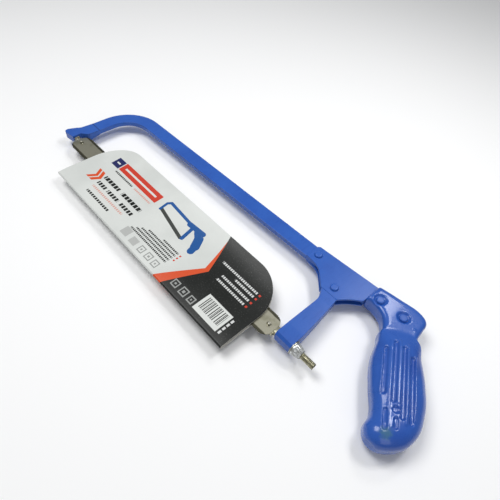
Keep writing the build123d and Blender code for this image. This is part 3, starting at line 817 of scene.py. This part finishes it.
@dataclass
class Handle:
    """Cast pistol handle: a flat head with rivet hollows and a thick grooved grip."""

    datum: Datum
    head_half: float = 8.5
    head_rounding: float = 3.6
    grip_half: float = 12.9
    grip_rounding: float = 9.0
    crown: float = 0.24
    crown_reach: float = 21.0
    neck: Point = (-50.0, -26.0)
    grain: float = 0.6
    coarse: float = 1.6
    panel_centre: Point = (401.7, 31.7)
    panel_lean: float = -58.0
    groove_half: float = 1.75
    groove_depth: float = 1.35
    ridge_height: float = 0.5
    mark: Point = (19.9, -0.8)
    mark_radius: float = 2.7
    rivets: tuple[Point, ...] = ((349.5, 83.57), (372.5, 84.02))
    hollow_radius: float = 6.2
    hollow_depth: float = 1.6
    pimple: Point = (385.0, 81.0)
    pimple_height: float = 0.5
    scuff: Point = (416.0, -3.6)
    head: tuple[Point, ...] = (
        (340.0, 76.8), (340.0, 95.6), (360.0, 98.4), (381.0, 99.6), (388.2, 95.6), (390.0, 87.0),
        (391.6, 77.5), (398.5, 69.2), (368.0, 62.0), (359.0, 73.2), (346.0, 77.2))
    head_corners: tuple[int, ...] = (0, 1, 7, 8)
    grip: tuple[Point, ...] = (
        (392.5, 76.0), (405.0, 63.2), (417.6, 48.5), (428.3, 31.0), (433.2, 11.0), (427.2, -5.4),
        (413.4, -13.9), (403.6, -8.7), (400.9, 3.0), (388.0, 20.0), (376.5, 36.5), (370.5, 52.0),
        (366.5, 64.5))
    grooves: tuple[tuple[float, float, float], ...] = (
        (-10.0, -28.3, 10.3), (-2.6, -35.0, 15.0), (3.9, -31.6, 26.0), (10.1, -24.3, 28.0),
        (-7.6, 20.0, 36.0), (-0.4, 25.0, 33.5))
    ridges: tuple[tuple[float, float, float], ...] = (
        (-12.4, -22.0, 9.0), (-6.2, -34.0, 30.0), (0.3, -36.0, 14.0), (6.4, -33.0, 28.0),
        (12.6, -24.0, 24.0))

    def build(self) -> Piece:
        """Model the whole casting and dress it.

        Returns:
            The handle.
        """
        head = self.slab("head", self.head, self.head_half, self.head_rounding, self.head_corners)
        grip = self.slab("grip", self.grip, self.grip_half, self.grip_rounding, ())
        rim = self.rim_of(grip)
        body = Bench.join([head, grip], "handle")
        Bench.modify(body, "REMESH", mode="VOXEL", voxel_size=self.grain * self.coarse * MM)
        Bench.modify(body, "SMOOTH", factor=0.5, iterations=9)
        Bench.modify(body, "REMESH", mode="VOXEL", voxel_size=self.grain * MM)
        Bench.modify(body, "SMOOTH", factor=0.5, iterations=3)
        self.shape(body, rim)
        Bench.modify(body, "SMOOTH", factor=0.5, iterations=1)
        self.keep_inside(body)
        Bench.pick(body)
        bpy.ops.object.shade_smooth()
        scuff = self.datum.at(*self.scuff, self.grip_half)
        Bench.paint(body, GlossEnamel("gloss_enamel", scuff).make())
        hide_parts("handle_casting")
        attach(body, "frame")
        return body

    def slab(self, name: str, outline: Sequence[Point], half: float, rounding: float,
             corners: Sequence[int]) -> Piece:
        """Thick plate with rounded rims from a smooth closed outline.

        Args:
            name: the plate's name.
            outline: points that the outline passes through, in millimetres.
            half: half of the plate's thickness.
            rounding: radius of its rims.
            corners: indices of the points where the outline turns sharply.

        Returns:
            The plate as a mesh.
        """
        plate = Bench.add(name, bpy.ops.curve.primitive_bezier_circle_add, radius=1.0)
        line = plate.data
        line.splines.clear()
        spline = line.splines.new("BEZIER")
        spline.bezier_points.add(len(outline) - 1)
        spline.use_cyclic_u = True
        for index, (x, y) in enumerate(outline):
            point = spline.bezier_points[index]
            kind = "VECTOR" if index in corners else "AUTO"
            point.co = Vector((x * MM, y * MM, 0.0))
            point.handle_left_type = kind
            point.handle_right_type = kind
        line.dimensions = "2D"
        line.fill_mode = "BOTH"
        line.resolution_u = 16
        line.extrude = (half - rounding) * MM
        line.bevel_depth = rounding * MM
        line.bevel_resolution = 7
        line.offset = -rounding * MM
        Bench.pick(plate)
        bpy.ops.object.convert(target="MESH")
        plate = Bench.take(name)
        plate.location = self.datum.at(0.0, 0.0)
        Bench.settle(plate)
        Bench.weld(plate)
        return plate

    def rim_of(self, grip: Piece) -> KDTree:
        """Outermost points of the grip, for finding how far inside its outline a point lies.

        Args:
            grip: the grip plate.

        Returns:
            A search tree of those points, flattened to the plan.
        """
        lengths = self.datum.lengths(grip.data)
        widest = lengths[np.abs(lengths[:, 2]) <= self.grip_half - self.grip_rounding + 0.3]
        tree = KDTree(len(widest))
        for index, row in enumerate(widest):
            tree.insert((row[0], row[1], 0.0), index)
        tree.balance()
        return tree

    def shape(self, body: Piece, rim: KDTree) -> None:
        """Crown the grip and sink its grooves, mark and rivet hollows into both faces.

        Args:
            body: the handle.
            rim: search tree of the grip's outline.
        """
        lengths = self.datum.lengths(body.data)
        side = np.sign(lengths[:, 2])
        height = np.abs(lengths[:, 2])
        inside = np.array([rim.find((x, y, 0.0))[2] for x, y, _ in lengths])
        crowned = 1 - self.crown * (1 - np.minimum(inside / self.crown_reach, 1.0)) ** 2
        along, across = self.panel_lengths(lengths)
        flow = smoothstep(*self.neck, along)
        height = np.minimum(height, self.head_half) + np.maximum(height - self.head_half, 0.0) * flow
        height = height * (1 + (crowned - 1) * flow)
        on_face = smoothstep(self.grip_half * 0.55, self.grip_half * 0.70, height)
        height = height - on_face * self.groove_depth * self.marks(along, across)
        height = height + on_face * self.ridge_height * self.lines(along, across)
        height = height - self.head_hollows(lengths, height)
        lengths[:, 2] = side * height
        self.datum.set_lengths(body.data, lengths)

    def panel_lengths(self, lengths: np.ndarray) -> tuple[np.ndarray, np.ndarray]:
        """Lengths along and across the grooved panel for every vertex."""
        lean = math.radians(self.panel_lean)
        gap_x = lengths[:, 0] - self.panel_centre[0]
        gap_y = lengths[:, 1] - self.panel_centre[1]
        along = gap_x * math.cos(lean) + gap_y * math.sin(lean)
        across = gap_y * math.cos(lean) - gap_x * math.sin(lean)
        return along, across

    def marks(self, along: np.ndarray, across: np.ndarray) -> np.ndarray:
        """How deep each vertex lies in a groove or in the round mark, from 0 to 1."""
        deep = np.zeros_like(along)
        for offset, start, end in self.grooves:
            before, beyond = start + self.groove_half - along, along - end + self.groove_half
            reach = np.maximum(np.maximum(before, beyond), 0)
            away = np.hypot(reach, across - offset)
            deep = np.maximum(deep, 1 - smoothstep(self.groove_half - 0.75, self.groove_half + 0.35, away))
        ring = np.hypot(along - self.mark[0], across - self.mark[1])
        round_mark = 1 - smoothstep(self.mark_radius - 0.8, self.mark_radius + 0.3, ring)
        return np.maximum(deep, round_mark * 0.9)

    def lines(self, along: np.ndarray, across: np.ndarray) -> np.ndarray:
        """How high each vertex stands on a rounded ridge between grooves, from 0 to 1."""
        high = np.zeros_like(along)
        for offset, start, end in self.ridges:
            reach = np.maximum(np.maximum(start - along, along - end), 0)
            away = np.hypot(reach, across - offset)
            high = np.maximum(high, 1 - smoothstep(0.2, 1.7, away))
        return high

    def head_hollows(self, lengths: np.ndarray, height: np.ndarray) -> np.ndarray:
        """How far the flat of the head sinks round each rivet, less a small casting pimple."""
        on_head = smoothstep(self.head_half * 0.6, self.head_half * 0.75, height)
        sink = np.zeros_like(height)
        for x, y in self.rivets:
            away = np.hypot(lengths[:, 0] - x, lengths[:, 1] - y)
            sink = np.maximum(sink, 1 - smoothstep(self.hollow_radius - 1.9, self.hollow_radius, away))
        away = np.hypot(lengths[:, 0] - self.pimple[0], lengths[:, 1] - self.pimple[1])
        return on_head * (self.hollow_depth * sink - self.pimple_height * (1 - smoothstep(0.3, 1.7, away)))

    def keep_inside(self, body: Piece) -> None:
        """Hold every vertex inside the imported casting's box."""
        low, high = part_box("handle_casting")
        Bench.set_places(body.data, np.clip(Bench.places(body.data), np.array(low), np.array(high)))


@dataclass
class Blade:
    """Hacksaw blade with teeth on both edges and a hole at each end."""

    datum: Datum
    front: float = -4.8
    rear: float = 308.8
    half_width: float = 11.5
    tooth: float = 0.7
    pitch: float = 1.4
    rake: float = 0.25
    plain_end: float = 7.0
    corner: float = 5.4
    thickness: float = 0.62
    height: float = -1.0
    hole_radius: float = 2.1
    holes: tuple[float, ...] = (2.0, 302.0)

    def build(self) -> Piece:
        """Model the blade and dress it.

        Returns:
            The blade.
        """
        count = int((self.rear - self.front - 2 * self.plain_end) / self.pitch)
        first = (self.front + self.rear - count * self.pitch) / 2
        body = self.half_width - self.tooth
        row = self.tooth_row(first, count, body)
        ends = [self.end_plate(self.front, first, body, True),
                self.end_plate(first + count * self.pitch, self.rear, body, False)]
        blade = Bench.join([row, *ends], "toothed_blade")
        Bench.weld(blade, 0.02)
        Bench.modify(blade, "SOLIDIFY", thickness=self.thickness * MM, offset=0.0)
        for x in self.holes:
            drill = Bench.add("drill", bpy.ops.mesh.primitive_cylinder_add, vertices=40, depth=4 * MM,
                              radius=self.hole_radius * MM, location=self.datum.at(x, 0.0, self.height))
            Bench.cut(blade, drill)
        Bench.smooth(blade)
        Bench.paint(blade, RolledSteel("rolled_steel", self.datum.y).make())
        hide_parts("blade")
        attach(blade, "blade")
        return blade

    def strip(self, name: str, start: float, end: float, body: float) -> Piece:
        """Flat strip of the blade's body between two lengths."""
        middle = self.datum.at((start + end) / 2, 0.0, self.height)
        strip = Bench.add(name, bpy.ops.mesh.primitive_plane_add, size=1.0, location=middle)
        strip.scale = ((end - start) * MM, 2 * body * MM, 1.0)
        Bench.settle(strip)
        return strip

    def tooth_row(self, first: float, count: int, body: float) -> Piece:
        """One slice of the blade with a tooth on each edge, repeated along the blade.

        Args:
            first: where the first slice starts.
            count: how many slices there are.
            body: half of the blade's width under the teeth.

        Returns:
            The flat row.
        """
        row = self.strip("tooth_row", first, first + self.pitch, body)
        for side in (1.0, -1.0):
            self.raise_tooth(row, side, body)
        Bench.modify(row, "ARRAY", count=count, use_relative_offset=False, use_constant_offset=True,
                     constant_offset_displace=(self.pitch * MM, 0.0, 0.0), use_merge_vertices=True,
                     merge_threshold=0.02 * MM)
        return row

    def raise_tooth(self, row: Piece, side: float, body: float) -> None:
        """Extrude one edge of the slice and draw it to a point that leans forwards."""
        edge_y = self.datum.y + side * body * MM

        def work(mesh: bmesh.types.BMesh) -> None:
            for edge in mesh.edges:
                edge.select = all(abs(v.co.y - edge_y) < 0.01 * MM for v in edge.verts)
            shift = (self.rake * self.pitch * MM, side * self.tooth * MM, 0.0)
            bpy.ops.mesh.extrude_region_move(TRANSFORM_OT_translate={"value": shift})
            bpy.ops.mesh.merge(type="CENTER")

        Bench.edit(row, work, "EDGE")

    def end_plate(self, start: float, end: float, body: float, front: bool) -> Piece:
        """Plain end of the blade with its two outer corners clipped.

        Args:
            start: where the plate starts.
            end: where the plate ends.
            body: half of the blade's width under the teeth.
            front: the front end, which is clipped at its start.

        Returns:
            The flat plate.
        """
        plate = self.strip("blade_end", start, end, body)
        outer_x = self.datum.at(start if front else end, 0.0).x

        def work(mesh: bmesh.types.BMesh) -> None:
            for vertex in mesh.verts:
                vertex.select = abs(vertex.co.x - outer_x) < 0.01 * MM
            mesh.select_flush_mode()
            bpy.ops.mesh.bevel(offset=self.corner * MM, segments=3, profile=0.4, affect="VERTICES")

        Bench.edit(plate, work)
        return plate


@dataclass
class TensionScrew:
    """Rear blade holder: flat tongue, square shank and a threaded tail."""

    datum: Datum
    tongue: Point = (296.45, 310.3)
    tongue_half: float = 5.0
    tongue_low: float = -4.5
    tongue_high: float = -1.4
    shank: Point = (310.0, 324.0)
    shank_half: float = 3.2
    rounding: float = 0.5
    overlap: float = 1.5
    tail_end: float = 351.0
    radius: float = 3.0
    root: float = 2.45
    pitch: float = 1.0

    def build(self) -> Piece:
        """Model the screw and dress it.

        Returns:
            The screw.
        """
        middle = (self.tongue_low + self.tongue_high) / 2
        thick = self.tongue_high - self.tongue_low
        screw = self.bar("threaded_screw", self.tongue, self.tongue_half, middle, thick)
        shank = self.bar("shank", self.shank, self.shank_half, 0.0, 2 * self.shank_half)
        Bench.cut(screw, shank, "UNION")
        Bench.cut(screw, self.thread(), "UNION")
        Bench.smooth(screw, 35.0)
        Bench.paint(screw, Zinc("screw_zinc", bright=(0.60, 0.58, 0.44), dull=(0.27, 0.26, 0.17)).make())
        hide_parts("tension_screw")
        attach(screw, "screw")
        return screw

    def bar(self, name: str, span: Point, half: float, middle: float, thick: float) -> Piece:
        """Square bar along the screw with softened edges.

        Args:
            name: the bar's name.
            span: where it starts and ends.
            half: half of its width.
            middle: height of its middle.
            thick: its thickness.

        Returns:
            The bar.
        """
        place = self.datum.at(sum(span) / 2, 0.0, middle)
        bar = Bench.add(name, bpy.ops.mesh.primitive_cube_add, size=1.0, location=place)
        bar.scale = ((span[1] - span[0]) * MM, 2 * half * MM, thick * MM)
        Bench.settle(bar)
        Bench.modify(bar, "BEVEL", width=self.rounding * MM, segments=2, limit_method="NONE")
        return bar

    def thread(self) -> Piece:
        """Threaded tail: one turn's profile swept along the screw and cut square at both ends.

        Returns:
            The closed tail.
        """
        start = self.shank[1] - self.overlap
        turns = int(self.tail_end - start) + 3
        tail = Bench.add("thread", bpy.ops.mesh.primitive_plane_add, size=1.0)
        profile = ((0.0, self.root), (0.12, self.root), (0.44, self.radius), (0.56, self.radius),
                   (0.88, self.root), (1.0, self.root))
        mesh = tail.data
        mesh.clear_geometry()
        mesh.from_pydata([((x - self.overlap) * self.pitch * MM, y * MM, 0.0) for x, y in profile],
                         [(i, i + 1) for i in range(len(profile) - 1)], [])
        Bench.modify(tail, "SCREW", axis="X", angle=math.tau, screw_offset=self.pitch * MM, iterations=turns,
                     steps=28, use_merge_vertices=True, merge_threshold=0.01 * MM)
        tail.location = self.datum.at(start, 0.0)
        Bench.settle(tail)
        self.square_off(tail, start, True)
        self.square_off(tail, self.tail_end, False)
        Bench.weld(tail, 0.005)
        return tail

    def square_off(self, tail: Piece, x: float, front: bool) -> None:
        """Cut the tail square at a length and close it there."""
        place = self.datum.at(x, 0.0)

        def work(_: bmesh.types.BMesh) -> None:
            bpy.ops.mesh.select_all(action="SELECT")
            bpy.ops.mesh.bisect(plane_co=place, plane_no=(1.0, 0.0, 0.0), use_fill=True,
                                clear_inner=front, clear_outer=not front)

        Bench.edit(tail, work)


@dataclass
class CardSleeve:
    """Printed card, cut flat with four large round corners and folded round the blade."""

    datum: Datum
    front: float = 33.0
    rear: float = 293.0
    fold_y: float = -42.0
    top_y: float = 34.0
    fold_radius: float = 1.4
    corner: float = 36.0
    thickness: float = 0.5
    height: float = -1.0
    section: tuple[Point, ...] = ((-42.0, 1.4), (-14.0, 2.1), (10.0, 2.7), (34.0, 7.05))
    ripple: float = 0.16
    fine_step: float = 0.35
    coarse_step: float = 3.0
    columns: int = 52

    @property
    def sheet(self) -> float:
        """Height of the flat sheet."""
        return 2 * (self.top_y - self.fold_y) + math.pi * self.fold_radius

    def build(self) -> Piece:
        """Model the card and dress it.

        Returns:
            The card.
        """
        width = self.rear - self.front
        card = Bench.add("card", bpy.ops.mesh.primitive_plane_add, size=1.0)
        card.scale = (width * MM, self.sheet * MM, 1.0)
        Bench.settle(card)
        self.round_corners(card)
        self.crease(card, width)
        self.chart(card, width)
        self.fold(card)
        printed = PrintedCard("printed_card", width, self.sheet).make()
        Bench.paint(card, printed, PlainBoard("plain_board").make())
        Bench.modify(card, "SOLIDIFY", thickness=self.thickness * MM, offset=0.0, use_even_offset=True,
                     material_offset=1, material_offset_rim=1)
        Bench.smooth(card, 40.0)
        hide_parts("blade_sleeve")
        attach(card, "sleeve")
        return card

    def round_corners(self, card: Piece) -> None:
        """Round the four corners of the flat sheet."""

        def work(_: bmesh.types.BMesh) -> None:
            bpy.ops.mesh.select_all(action="SELECT")
            bpy.ops.mesh.bevel(offset=self.corner * MM, segments=28, profile=0.5, affect="VERTICES")

        Bench.edit(card, work)

    def crease(self, card: Piece, width: float) -> None:
        """Divide the sheet, closely at the fold and loosely elsewhere."""
        bend = math.pi * self.fold_radius / 2 + 0.4
        most = int(bend / self.fine_step) + 1
        close = [i * self.fine_step for i in range(-most, most + 1)]
        loose = [side * (bend + 0.6 + step * self.coarse_step) for side in (-1, 1)
                 for step in range(int((self.sheet / 2 - bend) / self.coarse_step))]
        upright = [width * (i / self.columns - 0.5) for i in range(1, self.columns)]
        planes = [((0.0, y * MM, 0.0), (0.0, 1.0, 0.0)) for y in (*close, *loose)]
        planes += [((x * MM, 0.0, 0.0), (1.0, 0.0, 0.0)) for x in upright]

        def work(_: bmesh.types.BMesh) -> None:
            for place, across in planes:
                bpy.ops.mesh.select_all(action="SELECT")
                bpy.ops.mesh.bisect(plane_co=place, plane_no=across)

        Bench.edit(card, work)

    def chart(self, card: Piece, width: float) -> None:
        """Give the flat sheet its own map, so that the print follows the card when it is folded."""
        mesh = card.data
        layer = mesh.uv_layers.active or mesh.uv_layers.new(name="sheet")
        for loop in mesh.loops:
            place = mesh.vertices[loop.vertex_index].co / MM
            layer.data[loop.index].uv = (place.x / width + 0.5, place.y / self.sheet + 0.5)

    def fold(self, card: Piece) -> None:
        """Bend the flat sheet round its fold and open it towards the top."""
        flat = Bench.places(card.data) / MM
        quarter = math.pi * self.fold_radius / 2
        run = np.abs(flat[:, 1])
        side = np.sign(flat[:, 1])
        angle = np.minimum(run, quarter) / self.fold_radius
        straight = np.maximum(run - quarter, 0.0)
        y = self.fold_y - self.fold_radius * np.cos(angle) + straight
        curve = np.polyfit([p[0] for p in self.section], [p[1] for p in self.section], 3)
        opening = np.where(straight > 0, np.polyval(curve, y), self.fold_radius * np.sin(angle))
        x = flat[:, 0] + (self.front + self.rear) / 2
        wave = self.ripple * (1 + np.sin(x * 0.055 + side)) * smoothstep(-30.0, 30.0, y)
        z = self.height + side * (opening - wave)
        self.datum.set_lengths(card.data, np.stack([x, y, z], axis=1))


@dataclass
class CarriedParts:
    """CAD parts that keep their shape and get a softened edge and a finish."""

    rounding: float = 0.35
    enamelled: tuple[str, ...] = (
        "bow_bar", "front_foot", "upper_gusset_plate", "lower_gusset_plate", "rear_arm", "spine_rivet",
        "arm_rivet", "handle_front_rivet", "handle_rear_rivet")
    plated: tuple[str, ...] = ("front_blade_holder", "front_blade_pin", "rear_blade_pin", "tension_washer")
    nut: str = "tension_nut"

    def dress(self, nodes: dict[str, Piece]) -> None:
        """Give every carried part its edge and finish.

        Args:
            nodes: the frame's nodes by name.
        """
        enamel = Enamel("blue_enamel").make()
        zinc = Zinc("zinc_plate").make()
        bright = Zinc("nut_zinc", bright=(0.74, 0.76, 0.76), dull=(0.40, 0.41, 0.40)).make()
        for name in self.enamelled:
            self.finish(nodes[name], enamel, self.rounding)
        for name in self.plated:
            self.finish(nodes[name], zinc, self.rounding * 0.6)
        self.finish(nodes[self.nut], bright, self.rounding * 0.5)

    @staticmethod
    def finish(node: Piece, material: bpy.types.Material, rounding: float) -> None:
        """Soften one part's edges and give it its material.

        Args:
            node: the CAD node.
            material: its finish.
            rounding: width of the softened edge in millimetres.
        """
        Bench.paint(node, material)
        weld = node.modifiers.new("weld", "WELD")
        weld.merge_threshold = 0.002 * MM
        edge = node.modifiers.new("edge", "BEVEL")
        edge.width = rounding * MM
        edge.segments = 2
        edge.limit_method = "ANGLE"
        edge.angle_limit = math.radians(40)
        edge.harden_normals = False
        LOG.info("dressed %s", node.name)


@dataclass
class Studio:
    """Pale floor, soft lights and the camera."""

    floor: Colour = (0.94, 0.94, 0.94)
    lens: float = 30.53
    eye: tuple[float, float, float] = (0.200655, -0.171538, 0.312190)
    yaw: float = -0.742946
    pitch: float = 0.875607
    roll: float = 0.110220

    def build(self) -> None:
        """Set the floor, the lights, the world and the camera."""
        self.lay_floor()
        self.light("key", (-0.35, -0.15, 1.00), 0.5, 6.4)
        self.light("gleam", (0.02, 0.50, 0.62), 0.12, 0.60)
        self.light("panel", (0.21, 0.30, 0.62), 0.16, 1.40)
        self.light("side", (0.85, -0.55, 0.60), 0.6, 1.4)
        self.set_world()
        self.set_camera()

    def lay_floor(self) -> None:
        """Large plain floor under the saw."""
        floor = Bench.add("floor", bpy.ops.mesh.primitive_plane_add, size=12.0, location=(0.0, 0.0, -0.0002))
        Bench.settle(floor)
        Bench.paint(floor, Graph("floor").finish({"Base Color": (*self.floor, 1.0), "Roughness": 0.9}))

    @staticmethod
    def light(name: str, place: Sequence[float], size: float, power: float) -> None:
        """Square soft light that looks at the saw.

        Args:
            name: the light's name.
            place: where it hangs, in metres.
            size: side of the square, in metres.
            power: its power in watts.
        """
        Bench.clear()
        bpy.ops.object.light_add(type="AREA", location=place)
        lamp = bpy.context.active_object
        lamp.name = name
        lamp.data.energy = power
        lamp.data.size = size
        lamp.rotation_mode = "QUATERNION"
        lamp.rotation_quaternion = (-Vector(place)).to_track_quat("-Z", "Y")

    @staticmethod
    def set_world() -> None:
        """Even white surroundings."""
        world = bpy.data.worlds.new("studio")
        world.use_nodes = True
        back = world.node_tree.nodes["Background"]
        back.inputs["Color"].default_value = (0.96, 0.98, 1.0, 1.0)
        back.inputs["Strength"].default_value = 0.27
        bpy.context.scene.world = world

    def set_camera(self) -> None:
        """Camera above the blade side of the saw, near the handle."""
        ahead = Vector((math.sin(self.yaw) * math.cos(self.pitch), math.cos(self.yaw) * math.cos(self.pitch),
                        -math.sin(self.pitch)))
        level = Vector((math.cos(self.yaw), -math.sin(self.yaw), 0.0))
        up = level.cross(ahead)
        right = level * math.cos(self.roll) + up * math.sin(self.roll)
        top = up * math.cos(self.roll) - level * math.sin(self.roll)
        bpy.ops.object.camera_add()
        camera = bpy.context.active_object
        turn = Matrix((right, top, -ahead)).transposed()
        camera.matrix_world = Matrix.Translation(Vector(self.eye)) @ turn.to_4x4()
        camera.data.sensor_width = 36.0
        camera.data.lens = self.lens
        camera.data.clip_start = 0.01
        bpy.context.scene.camera = camera
        bpy.context.scene.view_settings.view_transform = "Standard"


def main() -> None:
    """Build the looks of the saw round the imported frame."""
    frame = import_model()
    datum = Datum.from_blade()
    LOG.info("drawing zero at %.5f %.5f %.5f", datum.x, datum.y, datum.z)
    CarriedParts().dress(frame["nodes"])
    for assembly in (Handle(datum), Blade(datum), TensionScrew(datum), CardSleeve(datum)):
        piece = assembly.build()
        LOG.info("%s has %d faces", piece.name, len(piece.data.polygons))
    Studio().build()


if __name__ == "__main__":
    logging.basicConfig(level=logging.INFO, format="%(name)s: %(message)s")
    main()
